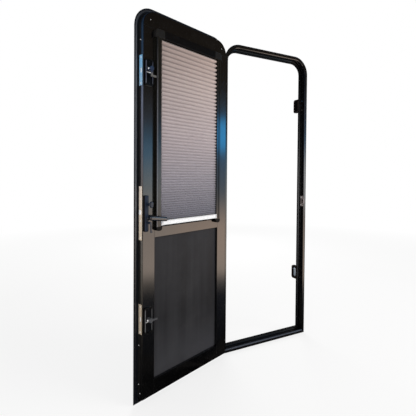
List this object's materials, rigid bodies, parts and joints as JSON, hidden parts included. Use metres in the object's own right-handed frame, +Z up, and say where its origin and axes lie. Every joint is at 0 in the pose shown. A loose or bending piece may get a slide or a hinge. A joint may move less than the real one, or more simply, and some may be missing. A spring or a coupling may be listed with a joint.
{
  "type": "caravan entry door",
  "caption": "Hinged caravan entry door in its bent metal frame, with a pleated window blind, lever latch and turn locks at several heights.",
  "frame": {"origin": "middle of the sill, on the back of the wall flange where it meets the edge of the wall cut-out", "axes": "+X across the doorway from the hinge side to the latch side, +Y into the caravan, +Z up"},
  "size_m": [1.2831, 0.3713, 1.892],
  "materials": {
    "black_coat": "satin black powder coat",
    "black_plastic": "moulded black",
    "black_furniture": "black lacquer",
    "seal_rubber": "soft black",
    "panel_charcoal": "fine textured charcoal",
    "pane": "tinted acrylic",
    "fabric_greige": "pleated greige",
    "bar_white": "white",
    "plate_steel": "brushed",
    "bolt_steel": "ground"
  },
  "bodies": {
    "frame": {"frame_surround": "black_coat", "frame_sill": "black_coat", "frame_seal": "seal_rubber", "hinge_frame_side": "black_coat", "hinge_pin": "plate_steel", "upper_keep": "black_plastic", "lower_keep": "black_plastic", "strike_plate": "plate_steel"},
    "leaf": {"outer_skin": "black_coat", "leaf_top_rail": "black_coat", "leaf_lock_stile": "black_coat", "leaf_hinge_stile": "black_coat", "leaf_mid_rail": "black_coat", "leaf_bottom_rail": "black_coat", "lower_panel": "panel_charcoal", "window_pane": "pane", "window_trim": "black_plastic", "leaf_seal": "seal_rubber", "hinge_leaf_side": "black_coat", "upper_face_plate": "plate_steel", "middle_face_plate": "plate_steel", "lower_face_plate": "plate_steel", "upper_lock_plate": "black_furniture", "lower_lock_plate": "black_furniture", "escutcheon": "black_furniture", "outside_plate": "black_furniture", "blind_head": "black_plastic", "blind_lock_track": "black_plastic", "blind_hinge_track": "black_plastic", "blind_lock_corner": "black_plastic", "blind_hinge_corner": "black_plastic", "blind_lock_end": "black_plastic", "blind_hinge_end": "black_plastic", "blind_fabric": "fabric_greige"},
    "lever": {"lever_handle": "black_furniture", "outside_lever": "black_furniture"},
    "latch": {"latch_bolt": "bolt_steel"},
    "upper_knob": {"upper_turn": "black_furniture"},
    "upper_throw": {"upper_bolt": "bolt_steel"},
    "lower_knob": {"lower_turn": "black_furniture"},
    "lower_throw": {"lower_bolt": "bolt_steel"},
    "snib": {"snib_knob": "black_furniture"},
    "tab": {"lock_tab": "black_furniture"},
    "blind": {"blind_bar": "bar_white"}
  },
  "joints": [
    {"name": "leaf_swing", "type": "hinge", "parent": "frame", "child": "leaf", "pos_m": [-0.331, -0.01, 0.9], "axis": [0, 0, -1], "range_deg": [-161, 14]},
    {"name": "lever_turn", "type": "hinge", "parent": "leaf", "child": "lever", "pos_m": [-0.89229, -0.23817, 0.869], "axis": [-0.3256, 0.9455, 0], "range_deg": [-45, 27]},
    {"name": "latch_slide", "type": "slide", "parent": "leaf", "child": "latch", "axis": [-0.9455, -0.3256, 0], "range_m": [-0.0055, 0.0092]},
    {"name": "upper_knob_turn", "type": "hinge", "parent": "leaf", "child": "upper_knob", "pos_m": [-0.88804, -0.23671, 1.563], "axis": [-0.3256, 0.9455, 0], "range_deg": [-90, 0]},
    {"name": "upper_throw_slide", "type": "slide", "parent": "leaf", "child": "upper_throw", "axis": [-0.9455, -0.3256, 0], "range_m": [0, 0.015]},
    {"name": "lower_knob_turn", "type": "hinge", "parent": "leaf", "child": "lower_knob", "pos_m": [-0.88804, -0.23671, 0.39], "axis": [-0.3256, 0.9455, 0], "range_deg": [-90, 0]},
    {"name": "lower_throw_slide", "type": "slide", "parent": "leaf", "child": "lower_throw", "axis": [-0.9455, -0.3256, 0], "range_m": [0, 0.015]},
    {"name": "snib_turn", "type": "hinge", "parent": "leaf", "child": "snib", "pos_m": [-0.89229, -0.23817, 0.934], "axis": [-0.3256, 0.9455, 0], "range_deg": [-90, 0]},
    {"name": "tab_turn", "type": "hinge", "parent": "leaf", "child": "tab", "pos_m": [-0.89229, -0.23817, 0.848], "axis": [-0.3256, 0.9455, 0], "range_deg": [-90, 0]},
    {"name": "blind_slide", "type": "slide", "parent": "leaf", "child": "blind", "axis": [0, 0, 1], "range_m": [0, 0.7], "deforming": ["blind_fabric"]}
  ],
  "couplings": [
    {"joint": "latch_slide", "follows": "lever_turn", "m_per_rad": -0.0115},
    {"joint": "upper_throw_slide", "follows": "upper_knob_turn", "m_per_rad": -0.0095},
    {"joint": "lower_throw_slide", "follows": "lower_knob_turn", "m_per_rad": -0.0095}
  ]
}
